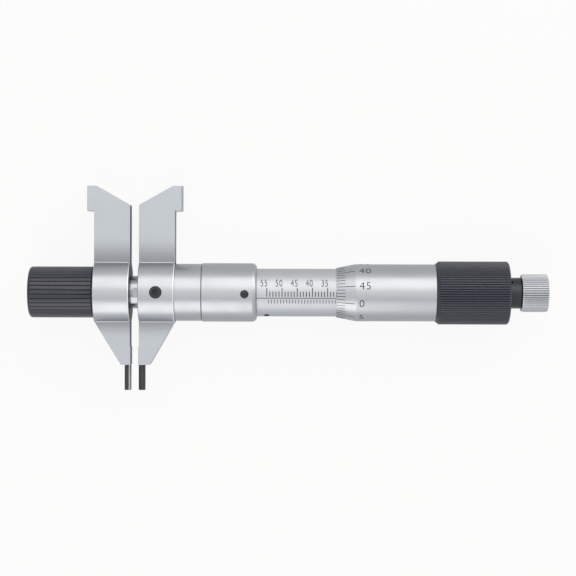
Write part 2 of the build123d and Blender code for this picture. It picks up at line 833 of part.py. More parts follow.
# Ratchet knob: hollow for the plate and spring, with a toothed web that turns on the journal
with BuildPart() as ratchet_knob:
    ribbed_bar(ratchet_x, ratchet_length, ratchet_radius, ratchet_ribs, ratchet_rib_depth, ratchet_rib_land)
    turned(
        [
            (ratchet_x, 0),
            (ratchet_x, ratchet_radius - ratchet_chamfer),
            (ratchet_x + ratchet_chamfer, ratchet_radius),
            (ratchet_end_x - ratchet_chamfer, ratchet_radius),
            (ratchet_end_x, ratchet_radius - ratchet_chamfer),
            (ratchet_end_x, 0),
        ],
        mode=Mode.INTERSECT,
    )
    bored(ratchet_x, ratchet_web_x, ratchet_cavity_radius)
    bored(ratchet_web_x, ratchet_web_end_x, journal_radius + running)
    bored(ratchet_web_end_x, ratchet_end_x, ratchet_recess_radius)
    toothed(ratchet_web_x, 1, journal_radius / 2, ratchet_cavity_radius)
ratchet_knob.part.label = "ratchet_knob"

pieces = [
    body_tube,
    fixed_jaw,
    fixed_jaw_pin,
    guide_screw,
    collar,
    collar_screw,
    sleeve,
    spindle_nut,
    adjusting_nut,
    guide_rod,
    movable_jaw,
    movable_jaw_pin,
    lock_plug,
    thrust_ball,
    coupling_nut,
    clamp_knob,
    clamp_screw,
    spindle,
    spindle_clip,
    thimble,
    thimble_grip,
    ratchet_body,
    ratchet_plate,
    ratchet_spring,
    ratchet_screw,
    ratchet_knob,
]
os.makedirs("parts", exist_ok=True)
for piece in pieces:
    export_step(piece.part, f"parts/{piece.part.label}.step")
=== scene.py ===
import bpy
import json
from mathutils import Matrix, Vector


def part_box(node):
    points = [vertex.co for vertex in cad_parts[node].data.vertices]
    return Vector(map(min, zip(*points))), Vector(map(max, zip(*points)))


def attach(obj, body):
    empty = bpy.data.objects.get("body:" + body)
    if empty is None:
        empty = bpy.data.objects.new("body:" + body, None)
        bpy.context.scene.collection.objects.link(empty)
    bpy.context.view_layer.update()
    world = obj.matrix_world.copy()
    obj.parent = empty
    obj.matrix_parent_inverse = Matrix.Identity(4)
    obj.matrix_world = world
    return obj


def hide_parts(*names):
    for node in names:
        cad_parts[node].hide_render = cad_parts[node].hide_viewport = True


bl_info = {
    "name": "Inside micrometer",
    "version": (1, 0, 0),
    "blender": (4, 5, 0),
    "location": "3D View > Sidebar > Micrometer",
    "description": "Dresses the packed frame of an inside micrometer with two hooked jaws",
    "category": "Object",
}

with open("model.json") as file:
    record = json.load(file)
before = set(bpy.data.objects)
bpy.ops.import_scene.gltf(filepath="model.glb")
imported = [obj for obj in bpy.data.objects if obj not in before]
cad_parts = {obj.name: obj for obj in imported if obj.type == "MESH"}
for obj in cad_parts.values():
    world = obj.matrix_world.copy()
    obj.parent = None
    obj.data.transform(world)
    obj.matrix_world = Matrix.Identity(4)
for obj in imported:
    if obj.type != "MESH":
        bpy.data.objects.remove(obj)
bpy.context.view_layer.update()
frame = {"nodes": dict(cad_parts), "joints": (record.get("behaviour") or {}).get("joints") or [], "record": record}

import json
from math import atan2, cos, hypot, pi, radians, sin, sqrt
from types import SimpleNamespace as Sizes

import bmesh
import bpy
from bpy.props import FloatProperty, FloatVectorProperty, IntProperty, PointerProperty
from bpy.types import Operator, Panel, PropertyGroup
from mathutils import Matrix, Vector

# Shapes are drawn in millimetres in the instrument's own frame: x runs along its centre line from the
# fixed jaw's inner face to the ratchet, y points to the hooks and z to the graduated side.
MM = 0.001
JOINTS = {joint["name"]: joint for joint in frame["joints"]}
MOUNTS = {mount["name"]: mount for mount in frame["record"]["mounts"]}
ALONG = Vector((1, 0, 0))
FACING = Vector(MOUNTS["fixed_jaw_side"]["axis"]).normalized()
HOOKWARD = FACING.cross(ALONG)
CENTRE = Vector((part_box("body_tube")[0].x, *JOINTS["thimble_turn"]["pos_m"][1:]))
TURN = Matrix((ALONG, HOOKWARD, FACING)).transposed().to_4x4()
PLACE = Matrix.Translation(CENTRE) @ TURN @ Matrix.Scale(MM, 4)
MERGE = 0.0005
ROUND_STEPS = 4
AROUND = 160
SMALL_AROUND = 64
HOLE_SIDES = 32
CREASE = radians(32)

# Radii, lengths and rounds in millimetres that follow the solids, most of them at hidden steps
PRESS = 0.01
SCREW_FIT = 0.04
FINE = 0.1
OUTSIDE = 20
TUBE = Sizes(radius=9.5, jaw_seat=7.24, collar_seat=7.49, sleeve_seat=6.79, rod_bore=5.43, rod_bore_end=42.61,
             nut_seat=5.3, nut_seat_length=10, spindle_bore=4.6, collar_gap=0.1)
COLLAR = Sizes(radius=9.75, rim=0.3)
SLEEVE = Sizes(hole_depth=0.8, skin=0.05, bore_skin=0.1)
ROD = Sizes(right=0.4, pocket=1.2, key_gap=0.55, key_length=33.4, key_sides=48)
PIN = Sizes(root=0.05, gap=0.02, shank=0.7, shank_length=5)
GUIDE_SCREW = Sizes(radius=2.05, tip_z=4.25, tip=1.45, tip_round=0.2, step_z=5.53, top_z=10.09,
                    top_round=0.25, socket=1.155, socket_z=8.3, socket_top=12, socket_sides=6)
COLLAR_SCREW = Sizes(radius=1.375, low_z=7.96, top_z=9.6, top_round=0.12, slot=0.225, slot_z=9.1, slot_top=11)
THIMBLE = Sizes(radius=9.5, bore=8.03, edge_round=0.03, grip_seat=9.0, cavity=7.0, web=6,
                taper_small=3.41, taper_large=3.91)
KNOB = Sizes(radius=8.5, left=1.1, right=0.3, core=0.05)
GRIP_RADIUS = 10.5
NECK = Sizes(radius=5.15, end_round=0.2, end_gap=0.05, flange=6.5, flange_length=3, stud_bore=2.41,
             stud_depth=8.5, hub=3.0, journal=2.5, screw_bore=1.26, screw_depth=7, hole_floor=3.95,
             hole_top=12)
RATCHET = Sizes(radius=6.25, right=0.45, lip=5.25, shoulder=6.05, cavity=4.95, cavity_depth=4.2, web_end=6.2,
                bore=2.53, recess=3.7)
END_SCREW = Sizes(radius=1.25, head=3.2, head_length=1.3, head_round=0.2, slot=0.4, slot_depth=0.6,
                  slot_end=5)

# A face counts as square to an axis, or as tilted to it, by its normal's part along that axis
SQUARE, NEARLY_SQUARE, TILTED = 0.99, 0.93, 0.1
# Faces of the movable pin whose normals point this far along x get a painted highlight in satin chrome
PIN_HIGHLIGHT = (0.3, 0.85)

# Points round a rib top's edge and at its groove's floor, as shares of half a pitch
RIB_EDGE = (0.06, 0.08)
GROOVE_FLOOR = 0.93

# Engraving: the gaps between lines and edges, the figures' shift and weights, and half a millimetre
INDEX_STOP, DIVISION_STOP, FIGURE_SHIFT = 0.2, 0.05, 0.1
SLEEVE_WEIGHT, THIMBLE_WEIGHT = -0.008, -0.01
HALF_LINE = 0.5

# Finishes: metallic, roughness, size and depth of the grain in millimetres, and how it is stretched
TURNED_GRAIN = (1, 0.03, 0.03)
SURFACES = {
    "satin_chrome": ("satin", 0.9, 0.33, 0.09, 0.004),
    "matt_chrome": ("matt", 0.75, 0.46, 0.09, 0.004),
    "ground_chrome": ("ground", 0.6, 0.55, 0.09, 0.004),
    "worn_chrome": ("worn", 0.8, 0.45, 0.09, 0.002),
    "faced_chrome": ("satin", 1.0, 0.33, 0.09, 0.004),
    "polished_steel": ("polished", 1.0, 0.16, 0.05, 0.001, (1, 0.02, 0.02)),
    "bright_steel": ("bright", 1.0, 0.25, 0.08, 0.002, TURNED_GRAIN),
    "ribbed_chrome": ("ribbed", 1.0, 0.3, 0.08, 0.003),
    "dark_carbide": ("carbide", 0.2, 0.24, 0.05, 0.002),
    "blackened_steel": ("blackened", 0.6, 0.32, 0.08, 0.003),
    "bronze": ("bronze", 1.0, 0.3, 0.08, 0.002, TURNED_GRAIN),
    "black_knob": ("plastic", 0.0, 0.28, 0.2, 0.008),
    "engraving_paint": ("ink", 0.0, 0.6, 0.1, 0.003),
}
PLAIN_INPUTS = {
    "engraving_paint": {"Specular IOR Level": 0.1},
    # A grey edge tint paints shade on the blades' side faces
    "faced_chrome": {"Specular Tint": (0.4, 0.4, 0.4, 1)},
}
BLOTCH, ROUGHNESS_SPREAD = 0.06, 0.08
# Painted shade on the blades' faces beside the rings: where it starts and ends off the centre line in millimetres,
# its darkest share, and its gain on the foot's side
RING_SHADE = Sizes(start=10.0, end=18.5, shade=0.58, footward=1.2)

# Lamps: distance, width, height and slide towards the ratchet, in metres
UPPER_LAMP = (0.75, 1.6, 0.63, 0.5)
LOWER_LAMP = (0.75, 0.6, 0.62, -0.24)
OVERHEAD = (1.0, 0.9, 0.6, 0.0)
SIDE_LAMP = (0.8, 0.9, 0.5, 0.0)
FLOOR_HALF = 4.0


def span(node):
    """Where a CAD node starts and ends along the centre line."""
    low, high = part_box(node)
    return round((low.x - CENTRE.x) / MM, 3), round((high.x - CENTRE.x) / MM, 3)


def reach(node):
    """The outer radius of a CAD node that is round about the centre line."""
    low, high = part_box(node)
    return round((high.y - low.y) / (2 * MM), 2)


# Properties

def described(text, **values):
    """A property's settings. Its description starts with its name, up to the first comma."""
    return {"name": text.split(",")[0], "description": text, **values}


def length(text, size):
    """A length whose default is given in millimetres."""
    return FloatProperty(**described(text, default=size * MM, unit="LENGTH", precision=5))


def turn(text, size):
    """An angle whose default is given in degrees."""
    return FloatProperty(**described(text, default=radians(size), subtype="ANGLE"))


def share(text, size, high=1.0):
    """A plain number from 0 to high."""
    return FloatProperty(**described(text, default=size, min=0.0, max=high))


def count(text, size):
    """A number of like features."""
    return IntProperty(**described(text, default=size, min=1))


def colour(text, *tint):
    """A colour, as linear red, green and blue."""
    return FloatVectorProperty(**described(text, default=tint, subtype="COLOR", min=0.0, max=1.0))


def own_properties(group):
    """A property group's own properties, without the ones that each group has."""
    return [prop for prop in group.bl_rna.properties if prop.identifier not in ("rna_type", "name")]


def sizes_of(family):
    """A property group's lengths in millimetres, and its other values as they are."""
    group = getattr(bpy.context.scene, "micrometer_" + family)
    values = {}
    for prop in own_properties(group):
        value = getattr(group, prop.identifier)
        values[prop.identifier] = value / MM if prop.unit == "LENGTH" else value
    return Sizes(**values)


class JawSizes(PropertyGroup):
    """Sizes of the two jaws and their measuring pins"""
    width: length("Blade width, along the centre line", 11.9)
    thickness: length("Blade thickness, from front to back", 7.0)
    shoulder: length("Inner corner, its height above the centre line", 28.95)
    top: length("Hook top, its height above the centre line", 35.3)
    hook_height: length("Hook height, along its measuring face", 8.3)
    outstand: length("Hook outstand, past its blade", 2.6)
    flat: length("Hook flat, the length of its top", 3.3)
    crown: length("Hook crown, the radius of its measuring face", 13.0)
    foot: length("Foot depth, below the centre line", 24.1)
    fixed_tip: length("Fixed foot tip, the width of its lower end", 3.6)
    movable_tip: length("Movable foot tip, the width of its lower end", 2.95)
    slant: length("Slant start, below the centre line", 9.6)
    pad_height: length("Pad height, at the foot's lower end", 6.0)
    pad_proud: length("Pad rise, proud of the inner face", 0.2)
    rim: length("Edge break, round a blade's flat faces", 0.15)
    corner: length("Corner round, on a blade's outline", 0.12)
    ring: length("Ring radius, round the tube or rod", 10.35)
    ring_round: length("Ring edge round, on both edges", 0.3)
    web: length("Junction round, where a ring meets its blade", 0.35)
    pin: length("Pin radius", 1.15)
    pin_length: length("Pin length, below the foot", 8.45)
    pin_inset: length("Pin inset, from the jaw's inner face to its middle", 0.85)


class TurnedSizes(PropertyGroup):
    """Edges and details of the turned pieces"""
    edge: length("Edge round, on the turned pieces", 0.1)
    collar_round: length("Collar round, on its right end", 1.6)
    keyway: length("Keyway width, in the guide rod", 3.0)
    keyway_depth: length("Keyway depth, in the guide rod", 1.3)
    thimble_edge: length("Thimble edge, its thickness at the left end", 0.17)
    bevel: length("Thimble bevel, its length", 6.36)
    spanner_hole: length("Spanner hole radius, in the sleeve", 0.95)
    spanner_inset: length("Spanner hole place, from the collar", 3.25)
    spanner_turn: turn("Spanner hole angle, from the graduated side", -72.0)
    screw_turn: turn("Collar screw angle, from the graduated side", -3.3)
    neck_hole: length("Neck hole radius, in the ratchet's neck", 0.55)
    neck_inset: length("Neck hole place, from the grip", 0.75)
    neck_turn: turn("Neck hole angle, from the graduated side", 44.0)


class RibSizes(PropertyGroup):
    """Straight ribs of the clamp knob, the grip and the ratchet knob"""
    knob_count: count("Knob ribs, their number", 36)
    knob_depth: length("Knob rib depth", 0.28)
    knob_land: share("Knob rib land, a rib top's share of the pitch", 0.74)
    grip_count: count("Grip ribs, their number", 80)
    grip_depth: length("Grip rib depth", 0.28)
    grip_land: share("Grip rib land, a rib top's share of the pitch", 0.45)
    grip_inset: length("Grip inset, from its solid's left end", 0.2)
    grip_chamfer: length("Grip chamfer, its length on the left end", 1.3)
    grip_rear: length("Grip rear chamfer, on the right end", 0.5)
    ratchet_count: count("Ratchet ribs, their number", 50)
    ratchet_depth: length("Ratchet rib depth", 0.34)
    ratchet_land: share("Ratchet rib land, a rib top's share of the pitch", 0.42)
    ratchet_inset: length("Ratchet inset, from its solid's left end", 0.2)
    ratchet_face: length("Ratchet left face, the length of its slope", 0.2)
    ratchet_taper: length("Ratchet taper, its length behind that face", 0.55)


class ScaleSizes(PropertyGroup):
    """Graduations and figures on the sleeve and the thimble"""
    high: count("High reading, at the sleeve's left end in millimetres", 55)
    low: count("Low reading, at the sleeve's right end in millimetres", 30)
    margin: length("Scale margin, from the collar to the highest line", 3.34)
    line: length("Line width", 0.2)
    main_line: length("Main line width, of the sleeve's millimetre lines", 0.26)
    proud: length("Ink rise, above the metal", 0.012)
    sunk: length("Ink depth, in the engraving", 0.05)
    index_turn: turn("Index line angle, from the front", -13.5)
    line_start: turn("Line start, of the millimetre lines", -10.0)
    short_end: turn("Short line end, of the millimetre lines", 2.4)
    long_end: turn("Long line end, of the five-millimetre lines", 11.4)
    half_start: turn("Half line start, of the half-millimetre lines", -17.3)
    half_end: turn("Half line end, of the half-millimetre lines", -27.0)
    figure_low: turn("Figure foot, of the sleeve's figures", 14.4)
    figure_high: turn("Figure top, of the sleeve's figures", 32.2)
    figure_pair: length("Figure pair width, on the sleeve", 2.27)
    divisions: count("Divisions, round the thimble", 50)
    reading: share("Thimble reading, its division at the index line", 48.7, 50.0)
    short_mark: length("Short division, its length", 2.8)
    long_mark: length("Long division, the length of every fifth", 5.9)
    thimble_figure: length("Thimble figure height", 2.5)
    thimble_pair: length("Thimble figure pair width", 3.7)
    thimble_inset: length("Thimble figure place, from its edge", 7.45)
    thimble_lift: length("Thimble figure lift, above their lines", 0.16)


class FinishSettings(PropertyGroup):
    """Colours of the finishes"""
    satin: colour("Satin chrome, of the plated pieces", 0.386, 0.409, 0.44)
    matt: colour("Matt chrome, of the sleeve", 0.455, 0.48, 0.52)
    ground: colour("Ground chrome, of the blades' faces", 0.449, 0.483, 0.534)
    # This light colour paints a highlight on the rings' right edges
    worn: colour("Worn chrome, of the rings' edges, which use has polished", 0.75, 0.77, 0.8)
    polished: colour("Polished steel, of the guide rod", 0.3, 0.32, 0.35)
    bright: colour("Bright steel, of the inner pieces", 0.5, 0.5, 0.5)
    ribbed: colour("Ribbed chrome, of the ratchet knob", 0.375, 0.395, 0.425)
    carbide: colour("Dark hard metal, of the measuring pins", 0.035, 0.036, 0.042)
    blackened: colour("Blackened steel, of the screws and the neck", 0.034, 0.036, 0.043)
    bronze: colour("Bronze, of the nut and the plug inside", 0.5, 0.33, 0.16)
    plastic: colour("Black plastic, of the knob and the grip", 0.022, 0.026, 0.044)
    # This dark colour also paints shade on the spanner hole's walls
    ink: colour("Engraving paint, of the lines and figures", 0.02, 0.02, 0.022)


class StageSettings(PropertyGroup):
    """Camera, lights and floor"""
    lens: share("Lens, its focal length in millimetres", 108.75, 500.0)
    distance: length("Camera distance, from the centre line", 580.0)
    aim: length("Camera place, along the centre line", 49.4)
    rise: length("Camera rise, towards the hooks", 1.52)
    roll: turn("Camera roll, which lowers the ratchet", 0.15)
    world: share("World level, from all round", 0.4, 5.0)
    upper_turn: turn("Upper lamp angle, from the camera towards the hooks", 38.0)
    upper: share("Upper lamp level", 1.52, 50.0)
    lower_turn: turn("Lower lamp angle, from the camera towards the hooks", -60.0)
    lower: share("Lower lamp level", 1.6, 50.0)
    overhead: share("Overhead level, of the wide lamp above", 0.42, 50.0)
    lamp_colour: colour("Lamp colour", 1.0, 0.94, 0.84)
    floor: colour("Floor", 0.8, 0.8, 0.8)
    floor_white: share("Floor whiteness, as the camera sees it", 0.91)
    floor_mirrored: share("Mirrored whiteness, as reflections see the floor", 0.45)
    side_turn: turn("Side lamp angle, round the centre line", 74.0)
    side_swing: turn("Side lamp swing, towards the ratchet", 52.0)
    side: share("Side lamp level, beyond the ratchet", 2.0, 50.0)


# Drawing in millimetres

def everything(bm):
    """All the vertices, edges and faces of a shape."""
    return bm.verts[:] + bm.edges[:] + bm.faces[:]


def only(kind, items):
    """The items of one kind, such as bmesh.types.BMVert."""
    return [item for item in items if isinstance(item, kind)]


def outwards(bm):
    """The shape with its faces turned outwards."""
    bmesh.ops.recalc_face_normals(bm, faces=bm.faces)
    return bm


def closed(bm):
    """The shape with its doubles merged and its faces turned outwards."""
    bmesh.ops.remove_doubles(bm, verts=bm.verts, dist=MERGE)
    return outwards(bm)


def sliced(bm, axis, places):
    """Cut a shape's faces across an axis at some places, so that they can bend there."""
    for place in places:
        bmesh.ops.bisect_plane(
            bm, geom=everything(bm), dist=1e-5, plane_co=Vector(axis) * place, plane_no=axis,
        )


def rounded(outline):
    """The (x, y) points of an outline of (x, y, corner round) corners, once those corners are rounded."""
    bm = plate([(x, y) for x, y, _ in outline])
    for vert, (_, _, radius) in zip(bm.verts[:], outline):
        if radius:
            bmesh.ops.bevel(
                bm, geom=[vert], affect="VERTICES", offset=radius, offset_type="OFFSET",
                segments=ROUND_STEPS, profile=0.5, material=-1,
            )
    points = [(vert.co.x, vert.co.y) for vert in next(iter(bm.faces)).verts]
    bm.free()
    return points


def plate(outline):
    """A flat face from (x, y) points."""
    bm = bmesh.new()
    bm.faces.new([bm.verts.new((x, y, 0)) for x, y in outline])
    return bm


def thickened(bm, low, high):
    """Give a flat face a thickness from z = low to z = high."""
    bmesh.ops.translate(bm, verts=bm.verts, vec=(0, 0, low))
    grown = bmesh.ops.extrude_face_region(bm, geom=bm.faces[:])["geom"]
    bmesh.ops.translate(bm, verts=only(bmesh.types.BMVert, grown), vec=(0, 0, high - low))
    return outwards(bm)


def turned(outline, steps=AROUND):
    """Spin an outline of (x, radius, corner round) corners about the centre line."""
    bm = bmesh.new()
    verts = [bm.verts.new((x, radius, 0)) for x, radius in rounded(outline)]
    for first, second in zip(verts, verts[1:] + verts[:1]):
        if max(first.co.y, second.co.y) > MERGE:
            bm.edges.new((first, second))
    bmesh.ops.spin(
        bm, geom=bm.verts[:] + bm.edges[:], cent=(0, 0, 0), axis=(1, 0, 0), angle=2 * pi, steps=steps,
        use_merge=True,
    )
    return closed(bm)


def stepped(x, *runs):
    """The outline of straight runs from x on, each with its radius, its end and the rounds at both ends."""
    outline = []
    for radius, end, *rounds in runs:
        first, last = rounds or (0, 0)
        outline += [(x, radius, first), (end, radius, last)]
        x = end
    return outline


def stood_up(outline, start, end):
    """A small turned piece stood up from the centre line to the front, in the middle from start to end."""
    bm = turned(outline, SMALL_AROUND)
    bm.transform(Matrix.Rotation(-pi / 2, 4, "Y"))
    bmesh.ops.translate(bm, verts=bm.verts, vec=((start + end) / 2, 0, 0))
    return bm


def ribbed(outline, ribs, depth, land):
    """Rings of flat rib tops with straight flanks, each kept within an (x, radius) outline that closes."""
    radius = max(edge for _, edge in outline)
    before, after = RIB_EDGE
    flank = (land - before, land + after, GROOVE_FLOOR)
    places = (0, *flank, 1, 2 - flank[2], 2 - land - after, 2 - land + before)
    bm = bmesh.new()
    ring = bmesh.ops.create_circle(bm, segments=ribs * len(places), radius=radius)["verts"]
    for index, vert in enumerate(ring):
        angle = (index // len(places) + places[index % len(places)] / 2) * 2 * pi / ribs
        vert.co = (0, cos(angle), sin(angle))
    first = edges = bm.edges[:]
    for number, (x, limit) in enumerate(outline):
        if number:
            grown = bmesh.ops.extrude_edge_only(bm, edges=edges)["geom"]
            ring, edges = only(bmesh.types.BMVert, grown), only(bmesh.types.BMEdge, grown)
        for vert in ring:
            angle = atan2(vert.co.z, vert.co.y)
            place = abs((angle * ribs / (2 * pi) + 0.5) % 1 - 0.5) * 2
            edge = min(limit, radius - depth * max(0.0, place - land) / (1 - land))
            vert.co = (x, edge * cos(angle), edge * sin(angle))
    bmesh.ops.bridge_loops(bm, edges=first + edges)
    return closed(bm)


def peg(x, angle, inner, outer, radius, sides=SMALL_AROUND):
    """A round or many-sided peg at x that points outwards, from the front at 0 to the hooks at 90 degrees."""
    bm = bmesh.new()
    bmesh.ops.create_cone(
        bm, cap_ends=True, segments=sides, radius1=radius, radius2=radius, depth=outer - inner
    )
    bmesh.ops.translate(bm, verts=bm.verts, vec=(0, 0, (outer + inner) / 2))
    bmesh.ops.rotate(bm, verts=bm.verts, cent=(0, 0, 0), matrix=Matrix.Rotation(-angle, 3, "X"))
    bmesh.ops.translate(bm, verts=bm.verts, vec=(x, 0, 0))
    return bm


def block(low, high, bm=None):
    """A plain block between two corners, alone or in a shape that is there already."""
    bm = bm or bmesh.new()
    verts = bmesh.ops.create_cube(bm, size=1)["verts"]
    bmesh.ops.scale(bm, verts=verts, vec=Vector(high) - Vector(low))
    bmesh.ops.translate(bm, verts=verts, vec=(Vector(high) + Vector(low)) / 2)
    return bm


def meshed(name, bm):
    """A mesh made from a drawn shape, which is used up."""
    mesh = bpy.data.meshes.new(name)
    bm.to_mesh(mesh)
    bm.free()
    return mesh


def linked(name, data):
    """A new object in the scene."""
    item = bpy.data.objects.new(name, data)
    bpy.context.scene.collection.objects.link(item)
    return item


def evaluated(item):
    """A new mesh of an object as its modifiers or its lettering make it."""
    depsgraph = bpy.context.evaluated_depsgraph_get()
    return bpy.data.meshes.new_from_object(item.evaluated_get(depsgraph))


def combined(operation, base, *tools):
    """Join shapes to a base with UNION, or cut them out of it with DIFFERENCE."""
    items = [linked("scratch", meshed("scratch", base))]
    for tool in tools:
        items.append(linked("scratch", meshed("scratch", tool)))
        modifier = items[0].modifiers.new("combine", "BOOLEAN")
        modifier.solver = "EXACT"
        modifier.operation = operation
        modifier.object = items[-1]
    result = evaluated(items[0])
    bm = bmesh.new()
    bm.from_mesh(result)
    for mesh in [result] + [item.data for item in items]:
        bpy.data.meshes.remove(mesh)
    return bm


def drilled(shape, *sizes):
    """Cut a peg of some sizes out of a shape."""
    return combined("DIFFERENCE", shape, peg(*sizes))


def placed(name, bm, body, slot, *nodes, looks=()):
    """Set a drawn shape in its place in the frame, riding on a body, with its slot's or other looks."""
    bm.transform(PLACE)
    mesh = meshed(name, bm)
    mesh.polygons.foreach_set("use_smooth", [True] * len(mesh.polygons))
    mesh.set_sharp_from_angle(angle=CREASE)
    for look in looks or (slot,):
        mesh.materials.append(finish(look))
    piece = linked(name, mesh)
    even = piece.modifiers.new("Even shading", "WEIGHTED_NORMAL")
    even.keep_sharp = True
    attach(piece, body)
    if nodes:
        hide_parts(*nodes)


# Finishes

def material(name):
    """A new material and its node tree."""
    made = bpy.data.materials.new(name)
    made.use_nodes = True
    return made, made.node_tree


def feed(tree, item, inputs):
    """Give a node's inputs values, or outputs that feed them."""
    for name, value in inputs.items():
        if isinstance(value, bpy.types.NodeSocket):
            tree.links.new(value, item.inputs[name])
        else:
            item.inputs[name].default_value = value


def node(tree, kind, inputs, output, **settings):
    """One output of a new shader node with some inputs and settings."""
    item = tree.nodes.new("ShaderNode" + kind)
    for name, value in settings.items():
        setattr(item, name, value)
    feed(tree, item, inputs)
    return item.outputs[output]


def maths(tree, operation, first, second):
    """What a Math node makes of two numbers."""
    return node(tree, "Math", {0: first, 1: second}, 0, operation=operation)


def tinted(tint, level):
    """A colour made darker or lighter, with its opacity."""
    return (*[min(1, part * level) for part in tint], 1)


def grained(name, tint, metallic, roughness, grain, depth, stretch=(1, 1, 1)):
    """A surface with slow unevenness and a fine grain, sized in millimetres and stretched along some axes."""
    made, tree = material(name + "_finish")
    where = node(tree, "TexCoord", {}, "Object")
    mapped = node(tree, "Mapping", {"Vector": where, "Scale": stretch}, "Vector")
    noise = {"Vector": mapped, "Scale": 1 / (grain * MM), "Detail": 3.0, "Roughness": 0.6}
    fine = node(tree, "TexNoise", noise, "Fac")
    slow = node(tree, "TexNoise", {"Vector": where, "Scale": 140.0, "Detail": 4.0}, "Fac")
    low, high = roughness - ROUGHNESS_SPREAD / 2, roughness + ROUGHNESS_SPREAD / 2
    level = {"Value": slow, "From Min": 0.3, "From Max": 0.7, "To Min": low, "To Max": high}
    blotches = {"A": tinted(tint, 1 - BLOTCH), "B": tinted(tint, 1 + BLOTCH), "Factor": fine}
    feed(tree, tree.nodes["Principled BSDF"], {
        "Base Color": node(tree, "Mix", blotches, "Result", data_type="RGBA"),
        "Metallic": metallic,
        "Roughness": node(tree, "MapRange", level, "Result"),
        "Normal": node(tree, "Bump", {"Height": fine, "Strength": 1.0, "Distance": depth * MM}, "Normal"),
        **PLAIN_INPUTS.get(name, {}),
    })
    return made


def finish(name):
    """One of the instrument's finishes, made when it is first asked for."""
    made = bpy.data.materials.get(name + "_finish")
    if not made:
        tint, *surface = SURFACES[name]
        made = grained(name, getattr(bpy.context.scene.micrometer_finishes, tint), *surface)
        # The blades' ground faces carry painted shade beside the rings
        if name == "ground_chrome":
            run_out(made.node_tree)
    return made


def run_out(tree):
    """Paint shade into a finish: darker towards the centre line, as shade falls on the blades' faces beside the
    rings.
    """
    where = node(tree, "TexCoord", {}, "Object")
    along = node(tree, "VectorMath", {0: where, 1: HOOKWARD}, "Value", operation="DOT_PRODUCT")
    hookward = maths(tree, "SUBTRACT", along, CENTRE.dot(HOOKWARD))
    off = maths(tree, "MAXIMUM", hookward, maths(tree, "MULTIPLY", hookward, -RING_SHADE.footward))
    level = node(tree, "MapRange", {
        "Value": off, "From Min": RING_SHADE.start * MM, "From Max": RING_SHADE.end * MM,
        "To Min": RING_SHADE.shade, "To Max": 1.0,
    }, "Result", interpolation_type="SMOOTHSTEP")
    paint = tree.nodes["Principled BSDF"]
    mix = {"Factor": 1.0, "A": paint.inputs["Base Color"].links[0].from_socket, "B": level}
    darker = node(tree, "Mix", mix, "Result", data_type="RGBA", blend_type="MULTIPLY")
    feed(tree, paint, {"Base Color": darker})


# Marks on a round surface

def strip(bm, x_low, x_high, turns, radius, sizes):
    """Lay one painted line on the unrolled surface, between two angles."""
    block((x_low, min(turns) * radius, -sizes.sunk), (x_high, max(turns) * radius, sizes.proud), bm)


def lettering(text, weight):
    """A flat mesh of some figures, one unit thick, and its lowest and highest corners."""
    curve = bpy.data.curves.new("figures", "FONT")
    curve.body = text
    curve.extrude = 0.5
    curve.offset = weight
    curve.space_character = 1.12
    curve.resolution_u = 6
    item = linked("figures", curve)
    mesh = evaluated(item)
    bpy.data.objects.remove(item)
    bpy.data.curves.remove(curve)
    places = [vert.co for vert in mesh.vertices]
    low, high = (Vector([pick(place[axis] for place in places) for axis in range(3)]) for pick in (min, max))
    return mesh, low, high


def figure(bm, text, x, middle, pair_width, height, sizes, align=0.0, weight=0.0):
    """Lay figures on the unrolled surface, with x at their left end where align is 0 and their right at 1."""
    pair, pair_low, pair_high = lettering("00", weight)
    mesh, low, high = lettering(text, weight)
    part = bmesh.new()
    part.from_mesh(mesh)
    wide = pair_width / (pair_high.x - pair_low.x)
    tall = height / (pair_high.y - pair_low.y)
    thick = sizes.proud + sizes.sunk
    bmesh.ops.translate(part, verts=part.verts, vec=(
        -low.x - align * (high.x - low.x), -(pair_low.y + pair_high.y) / 2, 0.5
    ))
    bmesh.ops.scale(part, verts=part.verts, vec=(wide, tall, thick))
    bmesh.ops.translate(part, verts=part.verts, vec=(x, middle, -sizes.sunk))
    bmesh.ops.remove_doubles(part, verts=part.verts, dist=MERGE)
    passing = meshed("figures", part)
    bm.from_mesh(passing)
    for used in (pair, mesh, passing):
        bpy.data.meshes.remove(used)


def wrapped(bm, radius_at, radius, step=0.35):
    """Bend the unrolled marks round the centre line."""
    low = min(vert.co.y for vert in bm.verts)
    high = max(vert.co.y for vert in bm.verts)
    sliced(bm, (0, 1, 0), [low + number * step for number in range(1, int((high - low) / step) + 1)])
    for vert in bm.verts:
        x, along, rise = vert.co
        angle = along / radius
        outer = radius_at(x) + rise
        vert.co = (x, outer * sin(angle), outer * cos(angle))
    return outwards(bm)


# Operators

def jaw_places(jaw):
    """Each jaw's name, the x of its inner face, the side its hook points to and its body."""
    return ("fixed_jaw", 0.0, 1, "frame"), ("movable_jaw", span("guide_rod")[0] + jaw.width, -1, "slide")


